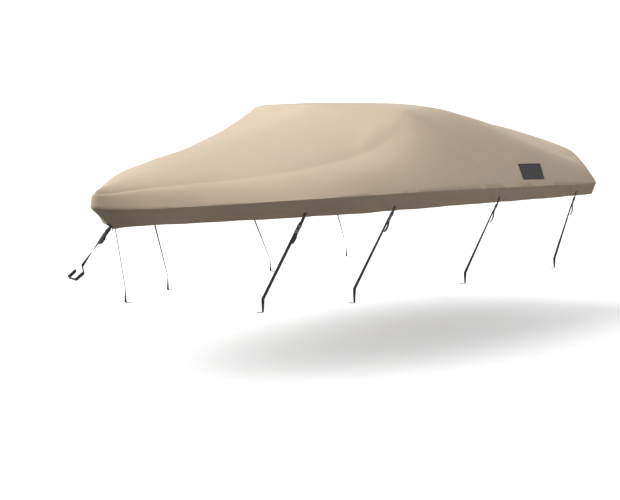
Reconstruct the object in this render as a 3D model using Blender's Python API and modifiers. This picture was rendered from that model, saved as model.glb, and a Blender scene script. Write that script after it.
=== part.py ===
"""Fitted boat cover, pulled tight: one hollow cloth shell with its label patch and webbing tie-downs.

Metres, +Z up. The bow points to -Y and port to +X. The origin is on the inside of the roof, on the
centre plane, at the top of the raised front. The tables give half (the distance from the centre
plane), aft (the distance behind the bow tip) and height (above the ground), and placed() turns these
into the part's own frame.
"""

import math
from collections import namedtuple

import bpy
import numpy as np
from mathutils import Matrix, Vector

# Driving dimensions
CLOTH = 0.0025
ROOF_HEIGHT = 1.772
ORIGIN_AFT = 2.75
ORIGIN_HEIGHT = ROOF_HEIGHT - CLOTH
WEBBING_WIDTH = 0.025
WEBBING = 0.0015
LIFT = 0.0016

# The cover's shape: one row for each main section of the port half, from the bow round to the stern.
# The rim is the fold where the top turns down into the skirt, the hem is the skirt's lower edge, and
# the spine is the top's centre line. A section climbs from the rim in a straight flank to its
# shoulder, a share of the way from the spine to the rim, and from there in an arch to the spine.
# soft is how far flank and arch are blended, and steps counts the ribs up to the next row.
Section = namedtuple(
    "Section",
    "rim_aft rim_half rim_height hem_aft hem_half hem_height"
    " spine_aft spine_height arch shoulder shoulder_height bulge soft steps",
)
SECTIONS = [
    Section(0.00, 0.000, 1.207, 0.230, 0.000, 1.057, 0.06, 1.318, 0.60, 0.62, 1.306, 0.067, 0.05, 2),
    Section(0.10, 0.074, 1.196, 0.255, 0.030, 1.064, 0.15, 1.339, 0.60, 0.67, 1.310, 0.057, 0.05, 2),
    Section(0.30, 0.217, 1.190, 0.370, 0.170, 1.074, 0.41, 1.377, 0.60, 0.72, 1.332, 0.030, 0.05, 3),
    Section(0.60, 0.430, 1.196, 0.650, 0.370, 1.080, 0.69, 1.408, 0.56, 0.69, 1.349, 0.034, 0.05, 3),
    Section(1.00, 0.695, 1.208, 1.035, 0.625, 1.084, 1.03, 1.451, 0.46, 0.66, 1.370, 0.038, 0.06, 4),
    Section(1.50, 0.940, 1.214, 1.525, 0.872, 1.086, 1.40, 1.499, 0.44, 0.67, 1.407, 0.043, 0.06, 4),
    Section(2.00, 1.055, 1.208, 2.015, 0.998, 1.081, 1.80, 1.551, 0.41, 0.66, 1.443, 0.064, 0.05, 5),
    Section(2.55, 1.118, 1.195, 2.560, 1.070, 1.072, 2.21, 1.630, 0.43, 0.65, 1.524, 0.053, 0.05, 4),
    Section(2.90, 1.135, 1.183, 2.905, 1.090, 1.064, 2.50, 1.698, 0.47, 0.62, 1.618, 0.055, 0.05, 3),
    Section(3.20, 1.146, 1.171, 3.200, 1.102, 1.055, 2.67, 1.757, 0.40, 0.59, 1.711, 0.049, 0.05, 1),
    Section(3.30, 1.148, 1.167, 3.300, 1.106, 1.051, 2.72, 1.772, 0.40, 0.57, 1.747, 0.048, 0.05, 4),
    Section(3.75, 1.152, 1.148, 3.750, 1.112, 1.037, 3.17, 1.767, 0.50, 0.54, 1.749, 0.060, 0.05, 5),
    Section(4.50, 1.155, 1.116, 4.500, 1.118, 1.012, 3.97, 1.743, 0.31, 0.71, 1.547, 0.072, 0.05, 5),
    Section(5.05, 1.158, 1.092, 5.050, 1.125, 0.998, 4.49, 1.684, 0.27, 0.80, 1.378, 0.061, 0.05, 3),
    Section(5.30, 1.155, 1.084, 5.292, 1.122, 0.992, 4.69, 1.633, 0.47, 0.86, 1.311, 0.041, 0.05, 2),
    Section(5.42, 1.115, 1.081, 5.405, 1.085, 0.989, 4.81, 1.605, 0.47, 0.87, 1.329, 0.019, 0.05, 2),
    Section(5.45, 1.030, 1.080, 5.430, 1.005, 0.988, 4.97, 1.590, 0.35, 0.90, 1.338, 0.020, 0.05, 4),
    Section(5.46, 0.500, 1.080, 5.440, 0.500, 0.988, 5.03, 1.599, 0.33, 0.87, 1.462, 0.020, 0.05, 4),
    Section(5.46, 0.000, 1.080, 5.440, 0.000, 0.988, 5.07, 1.605, 0.35, 0.86, 1.544, 0.020, 0.05, 0),
]
ODD_COLUMNS = {"rim_half", "hem_half"}

# Where a section is cut: shares of the way from the spine to the shoulder, from the shoulder to
# the rim, and from the rim down to the hem.
ARCH_SHARES = [0, 0.2, 0.4, 0.58, 0.73, 0.86, 0.95]
FLANK_SHARES = [0.05, 0.2, 0.42, 0.68, 0.92]
SKIRT_SHARES = [0, 0.2, 0.6, 1]
RIM_ROUNDING = 0.005
SWEEP_POWER = 1.25
SPINE_ROUNDING = 0.45  # how far the ridge along the middle is rounded off, as a share of the way to the shoulder

# The label patch, on the port flank: its middle, its length along the rim and its rise, and how
# much further aft its upper edge is than its lower one.
PATCH_AFT = 4.20
PATCH_ABOVE_RIM = 0.105
PATCH_LENGTH = 0.38
PATCH_RISE = 0.115
PATCH_SLANT = 0.055
PATCH_CLOTH = 0.001

# Tie-downs: a tab sewn to the skirt holds a buckle, and the strap leads from it to where it is tied.
BUCKLE_LENGTH = 0.060
BUCKLE_WIDTH = 0.034
BUCKLE_THICKNESS = 0.006
BUCKLE_WAIST = 0.004
BAR = 0.003
SLOT_LENGTH = 0.027
SLOT = 0.005
LOOP_RADIUS = 0.0046
TAB_RETURN = 0.018
TAB_CLEAR = 0.004
FREE_END = 0.075

# One row for each strap of a side. sewn is the tab's length on the skirt and hang its length below
# the hem. The strap bends where its run ends, goes down to the foot and turns inward there.
SideStrap = namedtuple("SideStrap", "aft sewn hang bend_half bend_aft bend_height foot_height")
SIDE_STRAPS = [
    SideStrap(1.266, 0.038, 0.056, 0.550, 1.143, 0.547, 0.456),
    SideStrap(2.080, 0.038, 0.022, 0.770, 1.989, 0.540, 0.441),
    SideStrap(3.561, 0.045, 0.030, 0.850, 3.556, 0.505, 0.421),
    SideStrap(4.970, 0.038, 0.030, 0.955, 4.970, 0.490, 0.408),
]
FACE_FORWARD = math.radians(30)
FOOT_TURN = 0.045
BEND_RADIUS = 0.008

# The bow tie-down: half, aft and height where its strap bends, once it has left the buckle.
BOW_SEWN = 0.040
BOW_ABOVE_HEM = 0.032
BOW_HANG = 0.030
BOW_BENDS = [
    (0.020, -0.131, 0.858),
    (0.040, -0.143, 0.817),
    (0.040, -0.227, 0.782),
    (-0.040, -0.195, 0.789),
    (-0.040, -0.115, 0.825),
]
BOW_WRAP_AXIS = Vector((0, -0.707, 0.707))


def placed(half, aft, height):
    return Vector((half, aft - ORIGIN_AFT, height - ORIGIN_HEIGHT))


# Smooth reading of the section table


def steady_slopes(knots, values):
    """Slopes that keep a cubic curve through these values from overshooting them."""
    steps = np.diff(knots)
    rises = np.diff(values) / steps
    slopes = np.zeros(len(knots))
    for i in range(1, len(knots) - 1):
        before, after = rises[i - 1], rises[i]
        if before * after > 0:
            weight_before = 2 * steps[i] + steps[i - 1]
            weight_after = steps[i] + 2 * steps[i - 1]
            total = weight_before + weight_after
            slopes[i] = total / (weight_before / before + weight_after / after)
    slopes[0], slopes[-1] = rises[0], rises[-1]
    return slopes


def on_cubic(knots, values, slopes, place):
    i = int(np.clip(np.searchsorted(knots, place) - 1, 0, len(knots) - 2))
    step = knots[i + 1] - knots[i]
    t = (place - knots[i]) / step
    return (
        values[i] * (1 + 2 * t) * (1 - t) ** 2
        + slopes[i] * step * t * (1 - t) ** 2
        + values[i + 1] * t * t * (3 - 2 * t)
        + slopes[i + 1] * step * t * t * (t - 1)
    )


class Outline:
    """The section table read at any place round the rim. The starboard half mirrors the port half."""

    def __init__(self, rows):
        self.rows = rows
        spans = [math.dist(a[:2], b[:2]) for a, b in zip(rows, rows[1:])]
        self.places = np.concatenate([[0], np.cumsum(spans)])
        past_stern = 2 * self.places[-1] - self.places[-2]
        self.knots = np.concatenate([[-self.places[1]], self.places, [past_stern]])
        self.columns = {}
        for name in Section._fields[:-1]:
            values = [getattr(row, name) for row in rows]
            sign = -1 if name in ODD_COLUMNS else 1
            mirrored = np.array([sign * values[1], *values, sign * values[-2]])
            self.columns[name] = (mirrored, steady_slopes(self.knots, mirrored))

    def at(self, place):
        read = {
            name: on_cubic(self.knots, values, slopes, place)
            for name, (values, slopes) in self.columns.items()
        }
        return Section(**read, steps=0)

    def rib_places(self):
        places = []
        for row, start, end in zip(self.rows, self.places, self.places[1:]):
            places += [start + (end - start) * i / row.steps for i in range(row.steps)]
        return places + [self.places[-1]]

    def place_at(self, aft):
        """The place on the side of the cover where the rim is this far aft."""
        low, high = 0, self.places[-1] - SECTIONS[-2].rim_half
        for _ in range(30):
            middle = (low + high) / 2
            low, high = (middle, high) if self.at(middle).rim_aft < aft else (low, middle)
        return low


def soft_min(a, b, soft):
    return (a + b - math.hypot(a - b, soft)) / 2


def top_point(section, share):
    sweep = section.rim_aft - section.spine_aft
    half = section.rim_half * share
    aft = section.spine_aft + sweep * share**SWEEP_POWER
    part = share / section.shoulder
    drop = section.spine_height - section.shoulder_height
    ridge = (math.hypot(part, SPINE_ROUNDING) - SPINE_ROUNDING) / (math.hypot(1, SPINE_ROUNDING) - SPINE_ROUNDING)
    arch = section.spine_height - drop * ((1 - section.arch) * ridge + section.arch * part**2)
    up = (1 - share) / (1 - section.shoulder)
    climb = section.shoulder_height - section.rim_height
    flank = section.rim_height + climb * up + 4 * section.bulge * up * max(1 - up, 0)
    return Vector((half, aft, soft_min(arch, flank, section.soft)))


def skirt_point(section, share):
    rim = Vector((section.rim_half, section.rim_aft, section.rim_height))
    hem = Vector((section.hem_half, section.hem_aft, section.hem_height))
    point = rim.lerp(hem, share)
    if share == 0:
        point += (hem - rim).normalized() * RIM_ROUNDING
    return point


# Sheets and ribbons


def material(name, colour, roughness):
    made = bpy.data.materials.new(name)
    made.use_nodes = True
    shader = made.node_tree.nodes["Principled BSDF"]
    shader.inputs["Base Color"].default_value = (*colour, 1)
    shader.inputs["Roughness"].default_value = roughness
    shader.inputs["Metallic"].default_value = 0
    return made


def put_in(collection, piece, finish):
    for old in list(piece.users_collection):
        old.objects.unlink(piece)
    collection.objects.link(piece)
    if not piece.data.materials:
        piece.data.materials.append(finish)
    return piece


def sheet(name, columns, rows, place, thickness, offset=0.0):
    """A grid of columns by rows faces, with each vertex moved to place(column, row)."""
    bpy.ops.mesh.primitive_grid_add(x_subdivisions=columns, y_subdivisions=rows, size=2)
    piece = bpy.context.object
    piece.name = name
    for vertex in piece.data.vertices:
        column = round((vertex.co.x + 1) / 2 * columns)
        row = round((vertex.co.y + 1) / 2 * rows)
        vertex.co = place(column, row)
    piece.data.shade_smooth()
    piece.data.set_sharp_from_angle(angle=math.radians(35))
    wall = piece.modifiers.new("Thickness", "SOLIDIFY")
    wall.thickness = thickness
    wall.offset = offset
    wall.use_even_offset = True
    return piece


Stop = namedtuple("Stop", "point across radius", defaults=[0])


def rounded_route(stops, arc_steps=4):
    """Points and width directions along straight runs whose corners are rounded to their radius."""
    route = [(stops[0].point, stops[0].across)]
    for before, corner, after in zip(stops, stops[1:], stops[2:]):
        if corner.radius == 0:
            route.append((corner.point, corner.across))
            continue
        back = (before.point - corner.point).normalized()
        ahead = (after.point - corner.point).normalized()
        half_angle = back.angle(ahead) / 2
        setback = corner.radius / math.tan(half_angle)
        centre = corner.point + (back + ahead).normalized() * (corner.radius / math.sin(half_angle))
        start = corner.point + back * setback - centre
        end = corner.point + ahead * setback - centre
        axis = start.cross(end).normalized()
        for i in range(arc_steps + 1):
            turn = Matrix.Rotation((math.pi - 2 * half_angle) * i / arc_steps, 3, axis)
            route.append((centre + turn @ start, corner.across))
    route.append((stops[-1].point, stops[-1].across))
    return route


def ribbon(name, stops):
    """A band of webbing along the stops, its width kept square to the way it runs."""
    route = rounded_route(stops)

    def place(column, row):
        point, across = route[row]
        ahead = route[min(row + 1, len(route) - 1)][0] - route[max(row - 1, 0)][0]
        ahead.normalize()
        level = (across - ahead * across.dot(ahead)).normalized()
        return point + level * WEBBING_WIDTH * (column - 0.5)

    return sheet(name, 1, len(route) - 1, place, WEBBING)


def turning_run(start, end, across_start, across_end, pieces):
    """Stops inside a straight run, along which the webbing turns from one facing to another."""
    shares = [i / pieces for i in range(1, pieces)]
    return [Stop(start.lerp(end, s), across_start.lerp(across_end, s).normalized()) for s in shares]


# The cover cloth and its label patch


def make_cover(outline):
    sections = [outline.at(place) for place in outline.rib_places()]
    arches, tops = len(ARCH_SHARES), len(ARCH_SHARES) + len(FLANK_SHARES)

    def place(column, row):
        section = sections[row]
        if column < arches:
            return placed(*top_point(section, section.shoulder * ARCH_SHARES[column]))
        if column < tops:
            part = FLANK_SHARES[column - arches]
            return placed(*top_point(section, section.shoulder + (1 - section.shoulder) * part))
        return placed(*skirt_point(section, SKIRT_SHARES[column - tops]))

    columns = tops + len(SKIRT_SHARES) - 1
    cover = sheet("cover", columns, len(sections) - 1, place, CLOTH, offset=-1)
    mirror = cover.modifiers.new("Starboard half", "MIRROR")
    mirror.merge_threshold = 0.0001
    cover.modifiers.move(1, 0)
    return cover


def make_patch(outline, cover):
    """A thin square-cornered patch that lies on the port flank, in line with the rim."""
    bpy.context.view_layer.update()
    lying_on = cover.evaluated_get(bpy.context.evaluated_depsgraph_get())
    columns, rows = 10, 4

    def place(column, row):
        along, up = column / columns - 0.5, row / rows - 0.5
        aft = PATCH_AFT + PATCH_LENGTH * along
        rim_height = outline.at(outline.place_at(aft)).rim_height
        height = rim_height + PATCH_ABOVE_RIM + PATCH_RISE * up
        outside = placed(2, aft + PATCH_SLANT * up, height)
        hit, point, normal, _ = lying_on.ray_cast(outside, Vector((-1, 0, 0)))
        return point + normal * LIFT

    return sheet("label_patch", columns, rows, place, PATCH_CLOTH, offset=0)


# The tie-downs


def buckle_shape():
    """The flat outline of a buckle, with a webbing slot at each end and a waist between them."""
    curve = bpy.data.curves.new("buckle", "CURVE")
    curve.dimensions = "2D"
    curve.fill_mode = "BOTH"
    curve.extrude = BUCKLE_THICKNESS / 2
    half_length, half_width = BUCKLE_LENGTH / 2, BUCKLE_WIDTH / 2
    corner, shoulder, waist = 0.004, 0.016, 0.012
    quarter = [
        (half_width - corner, half_length),
        (half_width - corner * 0.3, half_length - corner * 0.3),
        (half_width, half_length - corner),
        (half_width, shoulder),
        (half_width - BUCKLE_WAIST, waist),
    ]
    right = quarter + [(x, -y) for x, y in reversed(quarter)]
    loops = [right + [(-x, y) for x, y in reversed(right)]]
    near, far, slot_end = half_length - BAR, half_length - BAR - SLOT, SLOT_LENGTH / 2
    for end in (1, -1):
        loops.append(
            [(slot_end, end * near), (-slot_end, end * near), (-slot_end, end * far), (slot_end, end * far)]
        )
    for points in loops:
        spline = curve.splines.new("POLY")
        spline.points.add(len(points) - 1)
        for target, (x, y) in zip(spline.points, points):
            target.co = (x, y, 0, 1)
        spline.use_cyclic_u = True
    return curve


def make_tie_down(label, sewn, edge, hang, bends, across, outward, shape):
    """Tab, buckle and strap: the tab runs from sewn over the hem's edge, and the strap to its bends."""
    down = (bends[0].point - edge).normalized()
    level = (across - down * across.dot(down)).normalized()
    face = level.cross(down).normalized()
    if face.dot(outward) < 0:
        face = -face
    buckle_top = edge + down * hang
    top_bar = buckle_top + down * BAR / 2
    low_bar = buckle_top + down * (BUCKLE_LENGTH - BAR / 2)
    round_bar = LOOP_RADIUS * 0.999

    tab_stops = [
        Stop(sewn, across),
        Stop(edge, across),
        Stop(buckle_top - down * TAB_CLEAR + face * LOOP_RADIUS, level),
        Stop(top_bar + (face + down) * LOOP_RADIUS, level, round_bar),
        Stop(top_bar + (down - face) * LOOP_RADIUS, level, round_bar),
        Stop(top_bar - face * LOOP_RADIUS - down * TAB_RETURN, level),
    ]
    tab = ribbon(f"tab_{label}", tab_stops)

    buckle = bpy.data.objects.new(f"buckle_{label}", shape)
    side_way = down.cross(face)
    turn = Matrix((side_way, down, face)).transposed()
    buckle.matrix_world = Matrix.Translation(buckle_top + down * BUCKLE_LENGTH / 2) @ turn.to_4x4()

    run_start = low_bar - face * LOOP_RADIUS + down * TAB_RETURN
    strap_stops = [
        Stop(low_bar + down * FREE_END + face * LOOP_RADIUS * 2.2, level),
        Stop(low_bar + (face - down) * LOOP_RADIUS, level, round_bar),
        Stop(low_bar - (face + down) * LOOP_RADIUS, level, round_bar),
        Stop(run_start, level),
        *turning_run(run_start, bends[0].point, level, bends[0].across, 6),
        *bends,
    ]
    return tab, buckle, ribbon(f"strap_{label}", strap_stops)


def side_tie_down(outline, label, spec, side, shape):
    """side is 1 on port and -1 on starboard."""
    place = outline.place_at(spec.aft)
    here, before, after = (outline.at(place + step) for step in (0, -0.05, 0.05))

    def mirrored(half, aft, height):
        return placed(side * half, aft, height)

    rim = mirrored(here.rim_half, here.rim_aft, here.rim_height)
    hem = mirrored(here.hem_half, here.hem_aft, here.hem_height)
    along = mirrored(after.hem_half, after.hem_aft, 0) - mirrored(before.hem_half, before.hem_aft, 0)
    along.normalize()
    down = (hem - rim).normalized()
    outward = along.cross(down).normalized() * -side
    lift = outward * LIFT
    forward_facing = Vector((side * math.sin(FACE_FORWARD), math.cos(FACE_FORWARD), 0))
    aft_way = Vector((0, 1, 0))
    foot_half = spec.bend_half - FOOT_TURN
    bends = [
        Stop(mirrored(spec.bend_half, spec.bend_aft, spec.bend_height), forward_facing, BEND_RADIUS),
        Stop(mirrored(spec.bend_half, spec.bend_aft, spec.foot_height), aft_way, BEND_RADIUS),
        Stop(mirrored(foot_half, spec.bend_aft, spec.foot_height), aft_way),
    ]
    sewn = hem - down * spec.sewn + lift
    return make_tie_down(label, sewn, hem + lift, spec.hang, bends, along, outward, shape)


def bow_tie_down(outline, shape):
    bow = outline.at(0)
    rim = placed(bow.rim_half, bow.rim_aft, bow.rim_height)
    hem = placed(bow.hem_half, bow.hem_aft, bow.hem_height)
    across = Vector((1, 0, 0))
    down = (hem - rim).normalized()
    outward = down.cross(across).normalized()
    edge = hem - down * BOW_ABOVE_HEM + outward * LIFT
    corners = [placed(*point) for point in BOW_BENDS]
    bends = [Stop(corner, BOW_WRAP_AXIS, BEND_RADIUS) for corner in corners[:-1]]
    bends.append(Stop(corners[-1], BOW_WRAP_AXIS))
    sewn = edge - down * BOW_SEWN
    return make_tie_down("bow", sewn, edge, BOW_HANG, bends, across, outward, shape)


def main():
    for old in list(bpy.data.objects):
        bpy.data.objects.remove(old)
    collection = bpy.data.collections.new("boat_cover")
    bpy.context.scene.collection.children.link(collection)
    cloth = material("cloth", (0.47, 0.39, 0.29), 0.9)
    webbing = material("webbing", (0.012, 0.012, 0.013), 0.75)
    plastic = material("plastic", (0.015, 0.015, 0.016), 0.4)
    label_cloth = material("label_cloth", (0.012, 0.012, 0.012), 0.6)

    outline = Outline(SECTIONS)
    cover = put_in(collection, make_cover(outline), cloth)
    put_in(collection, make_patch(outline, cover), label_cloth)
    shape = buckle_shape()
    tie_downs = [bow_tie_down(outline, shape)]
    for side, name in ((1, "port"), (-1, "starboard")):
        for number, spec in enumerate(SIDE_STRAPS, 1):
            tie_downs.append(side_tie_down(outline, f"{name}_{number}", spec, side, shape))
    for tab, buckle, strap in tie_downs:
        put_in(collection, tab, webbing)
        put_in(collection, buckle, plastic)
        put_in(collection, strap, webbing)


main()
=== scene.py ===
# Boat cover, strapped down tight: canvas, label patch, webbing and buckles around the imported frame.
import math
from collections import namedtuple

import bpy
import numpy as np
from mathutils import Matrix, Vector, noise


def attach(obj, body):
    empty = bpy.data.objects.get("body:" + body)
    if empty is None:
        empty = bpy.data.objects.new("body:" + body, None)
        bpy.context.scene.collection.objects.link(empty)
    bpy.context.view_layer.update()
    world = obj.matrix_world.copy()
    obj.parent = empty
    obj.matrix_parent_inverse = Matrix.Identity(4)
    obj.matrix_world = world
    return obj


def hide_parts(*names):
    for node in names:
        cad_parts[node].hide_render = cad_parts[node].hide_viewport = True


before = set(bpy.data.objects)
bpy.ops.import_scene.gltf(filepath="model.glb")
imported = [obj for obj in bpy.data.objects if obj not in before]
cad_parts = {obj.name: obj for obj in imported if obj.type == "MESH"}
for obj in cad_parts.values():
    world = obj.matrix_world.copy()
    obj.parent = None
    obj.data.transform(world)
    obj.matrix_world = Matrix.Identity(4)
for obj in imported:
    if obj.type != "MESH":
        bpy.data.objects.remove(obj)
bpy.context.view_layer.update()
print("frame loaded:", len(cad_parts), "nodes")

# Lengths are in metres. Shapes are worked out as (half, aft, height): from the centre plane,
# behind the bow's tip, and above the ground. placed() turns these into the frame's own axes.
originAft = 2.75
originHeight = 1.7695


def placed(half, aft, height):
    return Vector((half, aft - originAft, height - originHeight))


# Shader maths
class Wire:  # one value in a material, which Python's operators can work on
    def __init__(self, graph, socket):
        self.graph, self.socket = graph, socket

    def maths(self, operation, *others):
        return self.graph.node("Math", {"operation": operation}, dict(enumerate((self, *others))))

    def __add__(self, other):
        return self.maths("ADD", other)

    __radd__ = __add__

    def __mul__(self, other):
        return self.maths("MULTIPLY", other)

    __rmul__ = __mul__

    def __sub__(self, other):
        return self.maths("SUBTRACT", other)

    def __rsub__(self, other):
        return self.graph.node("Math", {"operation": "SUBTRACT"}, {0: other, 1: self})

    def sine(self):
        return self.maths("SINE")

    def size(self):
        return self.maths("ABSOLUTE")

    def ramp(self, low, high):  # 0 at low, 1 at high, smooth between
        settings = {"interpolation_type": "SMOOTHSTEP"}
        return self.graph.node("MapRange", settings, {"Value": self, "From Min": low, "From Max": high})


class Graph:  # a material's node tree
    def __init__(self, name, roughness, **fixed):
        self.material = bpy.data.materials.new(name)
        self.material.use_nodes = True
        self.tree = self.material.node_tree
        self.shader = self.tree.nodes["Principled BSDF"]
        self.shader.inputs["Roughness"].default_value = roughness
        for socket, value in fixed.items():
            self.shader.inputs[socket.replace("_", " ")].default_value = value

    def node(self, kind, settings=None, inputs=None, out=0):
        made = self.tree.nodes.new("ShaderNode" + kind)
        for setting, value in (settings or {}).items():
            setattr(made, setting, value)
        for socket, value in (inputs or {}).items():
            self.feed(made.inputs[socket], value)
        return Wire(self, made.outputs[out])

    def feed(self, socket, value):
        if isinstance(value, Wire):
            self.tree.links.new(value.socket, socket)
        else:
            socket.default_value = value

    def into(self, name, value):
        self.feed(self.shader.inputs[name], value)

    def place(self):
        return self.node("TexCoord", out="Object")

    def along(self):
        return self.node("UVMap", {"uv_map": "UVMap"})

    def parts(self, vector):
        split = self.node("SeparateXYZ", None, {0: vector})
        outs = split.socket.node.outputs
        return [Wire(self, outs[i]) for i in range(3)]

    def grain(self, vector, scale, detail=2.0, roughness=0.5):
        inputs = {"Vector": vector, "Scale": scale, "Detail": detail, "Roughness": roughness}
        return self.node("TexNoise", None, inputs)

    def blend(self, amount, first, second, way="MIX"):
        settings = {"data_type": "RGBA", "blend_type": way}
        return self.node("Mix", settings, {"Factor": amount, 6: first, 7: second}, out=2)

    def bump(self, height, distance, strength=1.0, under=None):
        inputs = {"Height": height, "Distance": distance, "Strength": strength}
        if under is not None:
            inputs["Normal"] = under
        return self.node("Bump", None, inputs)


def rgb(r, g, b):
    return (r, g, b, 1)


# Materials
canvasLook = {
    "colour": rgb(0.580, 0.465, 0.335),
    "worn": rgb(0.610, 0.490, 0.357),
    # darker colour: soil near the hem and on thick yarn, and painted shade in the weave's low places
    "soilAndWeaveShade": rgb(0.470, 0.365, 0.260),
    "yarn": 0.0011,  # from one yarn to the next
    "weaveDepth": 0.0004,
    "slubs": 320,  # sizes of the noises, from thick places in the yarn to broad clouds
    "mottling": 13,
    "softDents": 7,
    "dentDepth": 0.004,
    "clouds": 1.3,
    "hemSoilHeight": 0.12,  # how far up from the hem it is soiled
}


def weaveOf(first, second, pitch):
    turn = 2 * math.pi / pitch
    return (first * turn).sine() * (second * turn).sine() * 0.5 + 0.5


def canvasMaterial(look):
    g = Graph("coverCanvas", 0.93, Sheen_Weight=0.12, Sheen_Roughness=0.6, Specular_IOR_Level=0.2)
    place = g.place()
    x, y, z = g.parts(place)
    sideWay, foreWay, upWay = (part.size() for part in g.parts(g.node("NewGeometry", out=1)))
    onTop = upWay.ramp(0.5, 0.7)
    onSide = (sideWay - foreWay).ramp(-0.1, 0.1)
    upright = weaveOf(y, z, look["yarn"]) * onSide + weaveOf(x, z, look["yarn"]) * (1 - onSide)
    weave = weaveOf(x, y, look["yarn"]) * onTop + upright * (1 - onTop)
    slub = g.grain(place, look["slubs"], 2)
    cloudy = g.grain(place, look["clouds"], 3, 0.55)
    mottled = g.grain(place, look["mottling"], 4, 0.6)
    up, _, _ = g.parts(g.along())
    colour = g.blend(cloudy.ramp(0.32, 0.68), look["colour"], look["worn"])
    colour = g.blend(mottled.ramp(0.45, 0.75) * 0.3, colour, look["worn"])
    nearHem = 1 - up.ramp(0.0, look["hemSoilHeight"])
    colour = g.blend(nearHem * mottled.ramp(0.3, 0.6) * 0.35, colour, look["soilAndWeaveShade"])
    # thick places in the yarn are darker; the weave's low places between the yarns are darkened too, as
    # painted shade
    colour = g.blend(slub.ramp(0.5, 0.8) * 0.15 + (1 - weave) * 0.08, colour, look["soilAndWeaveShade"])
    g.into("Base Color", colour)
    g.into("Roughness", 0.88 + mottled * 0.09)
    soft = g.bump(g.grain(place, look["softDents"], 4, 0.5), look["dentDepth"], 0.4)
    g.into("Normal", g.bump(weave * 0.6 + slub * 0.4, look["weaveDepth"], 0.5, soft))
    return g.material


def threadMaterial(name, colour):
    g = Graph(name, 0.75, Sheen_Weight=0.1, Specular_IOR_Level=0.3)
    twist = g.grain(g.place(), 900, 2)
    g.into("Base Color", g.blend(twist * 0.4, colour, rgb(*(c * 0.6 for c in colour[:3]))))
    g.into("Normal", g.bump(twist, 0.0002, 0.5))
    return g.material


webbingLook = {
    "colour": rgb(0.016, 0.016, 0.017),
    # the worn colour also gives the painted highlight on the raised ribs
    "worn": rgb(0.040, 0.040, 0.042),
    "width": 0.025,
    "rib": 0.0022,  # from one rib to the next, along the band and across it
    "ribAcross": 0.0031,
    "ribDepth": 0.0005,
}


def webbingMaterial(look):
    g = Graph("blackWebbing", 0.7, Sheen_Weight=0.15, Specular_IOR_Level=0.4)
    across, run, _ = g.parts(g.along())
    ribsAlong = (run * (2 * math.pi / look["rib"])).sine()
    ribsAcross = (across * (2 * math.pi / look["ribAcross"])).sine()
    ribs = ribsAlong * ribsAcross * 0.5 + 0.5
    selvedge = (across - look["width"] / 2).size().ramp(look["width"] * 0.42, look["width"] * 0.47)
    fuzz = g.grain(g.place(), 90, 3)
    colour = g.blend(fuzz.ramp(0.45, 0.7) * 0.5, look["colour"], look["worn"])
    # painted highlight: the raised ribs are lightened towards the worn colour
    colour = g.blend(ribs * 0.35, colour, look["worn"])
    g.into("Base Color", colour)
    g.into("Roughness", 0.62 + fuzz * 0.2)
    g.into("Normal", g.bump(ribs * (1 - selvedge) + selvedge * 0.7, look["ribDepth"], 0.6))
    return g.material


plasticLook = {"colour": rgb(0.014, 0.014, 0.015), "scuffed": rgb(0.045, 0.045, 0.047), "texture": 0.00015}


def plasticMaterial(look):
    g = Graph("blackAcetal", 0.34, Specular_IOR_Level=0.5)
    place = g.place()
    scuffs = g.grain(place, 160, 4, 0.65).ramp(0.58, 0.72)
    g.into("Base Color", g.blend(scuffs * 0.5, look["colour"], look["scuffed"]))
    g.into("Roughness", 0.30 + scuffs * 0.3)
    g.into("Normal", g.bump(g.grain(place, 700, 2), look["texture"], 0.4))
    return g.material


patchLook = {
    "colour": rgb(0.013, 0.012, 0.012),
    "worn": rgb(0.030, 0.028, 0.027),
    "twill": 0.0016,  # from one diagonal rib to the next
    "twillDepth": 0.0004,
}


def patchMaterial(look):
    g = Graph("patchCloth", 0.6, Sheen_Weight=0.1, Specular_IOR_Level=0.35)
    across, run, _ = g.parts(g.along())
    twill = ((across + run) * (2 * math.pi / look["twill"])).sine() * 0.5 + 0.5
    fuzz = g.grain(g.place(), 60, 3)
    colour = g.blend(fuzz.ramp(0.4, 0.75) * 0.6, look["colour"], look["worn"])
    g.into("Base Color", colour)
    g.into("Roughness", 0.55 + fuzz * 0.15)
    g.into("Normal", g.bump(twill, look["twillDepth"], 0.5))
    return g.material


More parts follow.
